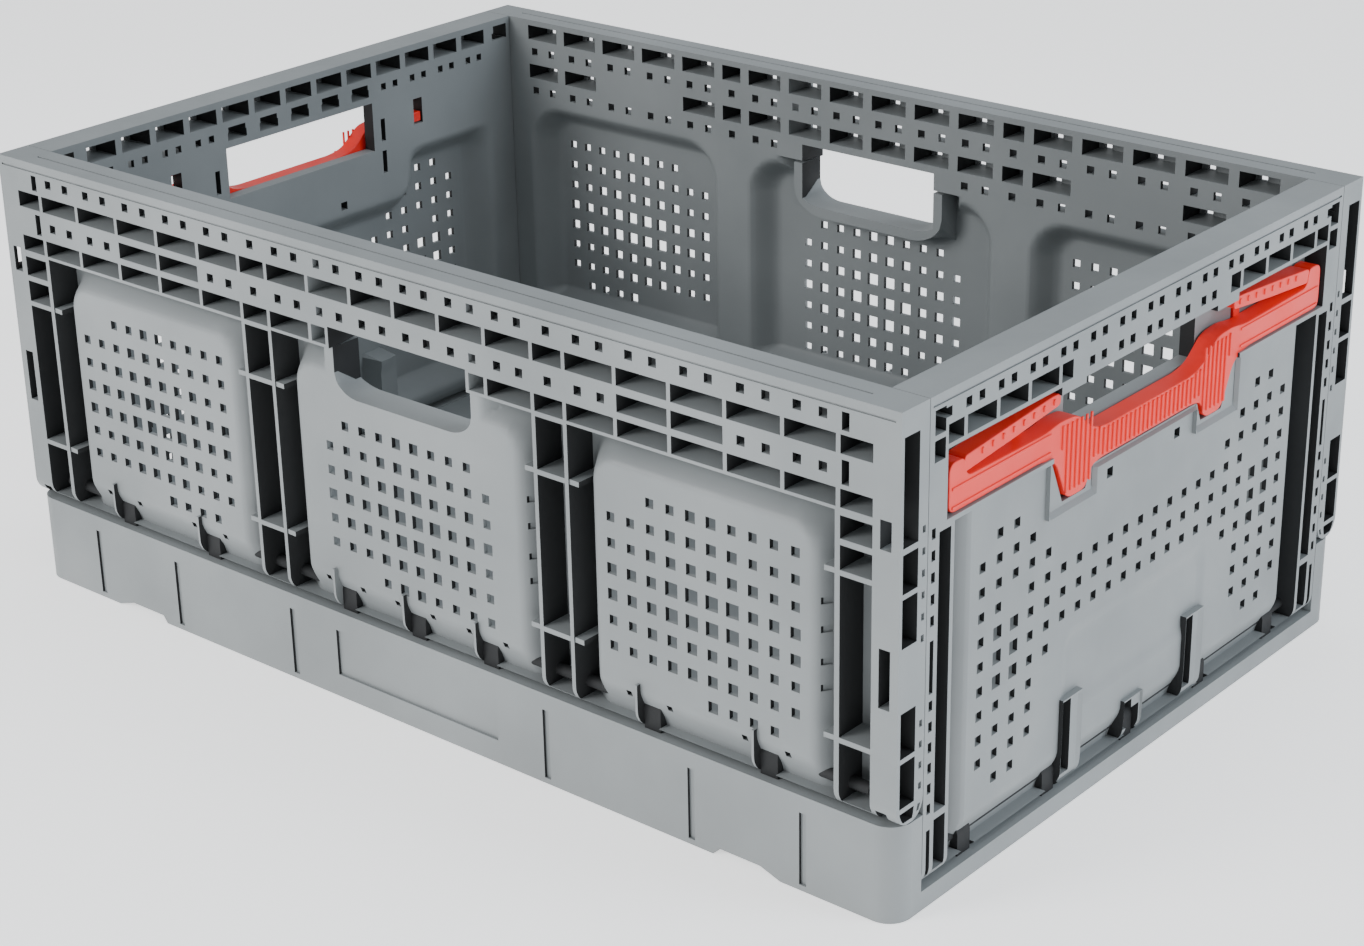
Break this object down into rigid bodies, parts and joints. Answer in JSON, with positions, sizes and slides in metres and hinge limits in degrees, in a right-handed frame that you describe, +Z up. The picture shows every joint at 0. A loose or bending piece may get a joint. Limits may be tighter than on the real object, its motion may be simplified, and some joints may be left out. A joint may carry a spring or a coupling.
{
  "type": "folding crate",
  "caption": "Open-topped stacking crate whose four perforated walls fold flat onto a shallow tray, with a sliding grip latch in each end wall.",
  "frame": {"origin": "middle of the underside the crate stands on", "axes": "+X along the long walls, +Y towards the back long wall, +Z up"},
  "size_m": [0.6, 0.4, 0.25],
  "materials": {
    "grey_plastic": "matte moulded",
    "red_plastic": "satin moulded"
  },
  "bodies": {
    "base": {"base_tray": "grey_plastic", "hinge_rod_front": "grey_plastic", "hinge_rod_back": "grey_plastic", "hinge_rod_left": "grey_plastic", "hinge_rod_right": "grey_plastic"},
    "long_wall_front": {"long_wall_front": "grey_plastic"},
    "long_wall_back": {"long_wall_back": "grey_plastic"},
    "end_wall_left": {"end_wall_left": "grey_plastic"},
    "end_wall_right": {"end_wall_right": "grey_plastic"},
    "latch_left": {"latch_bar_left": "red_plastic"},
    "latch_right": {"latch_bar_right": "red_plastic"},
    "latch_spring_left_a": {"latch_spring_left_a": "red_plastic"},
    "latch_spring_left_b": {"latch_spring_left_b": "red_plastic"},
    "latch_spring_right_a": {"latch_spring_right_a": "red_plastic"},
    "latch_spring_right_b": {"latch_spring_right_b": "red_plastic"}
  },
  "joints": [
    {"name": "front_fold", "type": "hinge", "parent": "base", "child": "long_wall_front", "pos_m": [0, -0.19, 0.0604], "axis": [-1, 0, 0], "range_deg": [0, 90]},
    {"name": "back_fold", "type": "hinge", "parent": "base", "child": "long_wall_back", "pos_m": [0, 0.19, 0.0604], "axis": [1, 0, 0], "range_deg": [0, 90]},
    {"name": "left_fold", "type": "hinge", "parent": "base", "child": "end_wall_left", "pos_m": [-0.29, 0, 0.0204], "axis": [0, 1, 0], "range_deg": [0, 90]},
    {"name": "right_fold", "type": "hinge", "parent": "base", "child": "end_wall_right", "pos_m": [0.29, 0, 0.0204], "axis": [0, -1, 0], "range_deg": [0, 90]},
    {"name": "left_latch_lift", "type": "slide", "parent": "end_wall_left", "child": "latch_left", "axis": [0, 0, 1], "range_m": [0, 0.008], "stiffness_N_per_m": 600, "springref_m": -0.006},
    {"name": "left_spring_flex_a", "type": "hinge", "parent": "latch_left", "child": "latch_spring_left_a", "pos_m": [-0.294, 0.149, 0.2098], "axis": [1, 0, 0], "range_deg": [0, 6.5]},
    {"name": "left_spring_flex_b", "type": "hinge", "parent": "latch_left", "child": "latch_spring_left_b", "pos_m": [-0.294, -0.149, 0.2098], "axis": [-1, 0, 0], "range_deg": [0, 6.5]},
    {"name": "right_latch_lift", "type": "slide", "parent": "end_wall_right", "child": "latch_right", "axis": [0, 0, 1], "range_m": [0, 0.008], "stiffness_N_per_m": 600, "springref_m": -0.006},
    {"name": "right_spring_flex_a", "type": "hinge", "parent": "latch_right", "child": "latch_spring_right_a", "pos_m": [0.294, -0.149, 0.2098], "axis": [-1, 0, 0], "range_deg": [0, 6.5]},
    {"name": "right_spring_flex_b", "type": "hinge", "parent": "latch_right", "child": "latch_spring_right_b", "pos_m": [0.294, 0.149, 0.2098], "axis": [1, 0, 0], "range_deg": [0, 6.5]}
  ],
  "couplings": [
    {"joint": "left_spring_flex_a", "follows": "left_latch_lift", "rad_per_m": 13.725},
    {"joint": "left_spring_flex_b", "follows": "left_latch_lift", "rad_per_m": 13.725},
    {"joint": "right_spring_flex_a", "follows": "right_latch_lift", "rad_per_m": 13.725},
    {"joint": "right_spring_flex_b", "follows": "right_latch_lift", "rad_per_m": 13.725}
  ]
}
